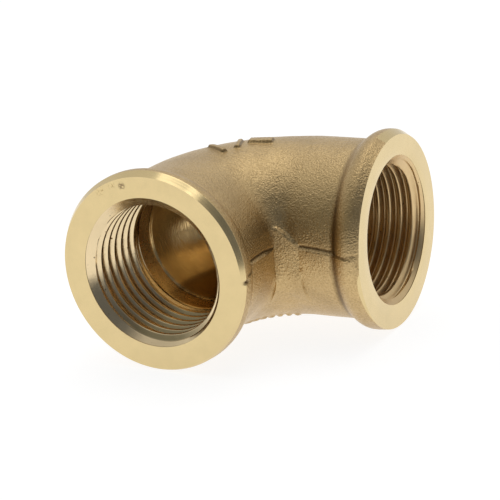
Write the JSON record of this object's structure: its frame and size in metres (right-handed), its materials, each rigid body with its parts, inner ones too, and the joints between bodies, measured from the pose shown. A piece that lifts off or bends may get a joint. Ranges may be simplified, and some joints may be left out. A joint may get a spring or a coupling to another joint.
{
  "type": "threaded pipe elbow",
  "caption": "Forged brass 90 degree pipe elbow with two beaded ends, each with an internal parallel pipe thread.",
  "frame": {"origin": "centre of port A's machined face, where the mating pipe enters", "axes": "port A opens towards -Y, port B opens towards +X, and +Z is square to both port axes"},
  "size_m": [0.0405, 0.0405, 0.029],
  "materials": {
    "brass": "granular as-forged skin, bright turned faces and threads"
  },
  "bodies": {
    "root": {"elbow_body": "brass"}
  },
  "joints": []
}
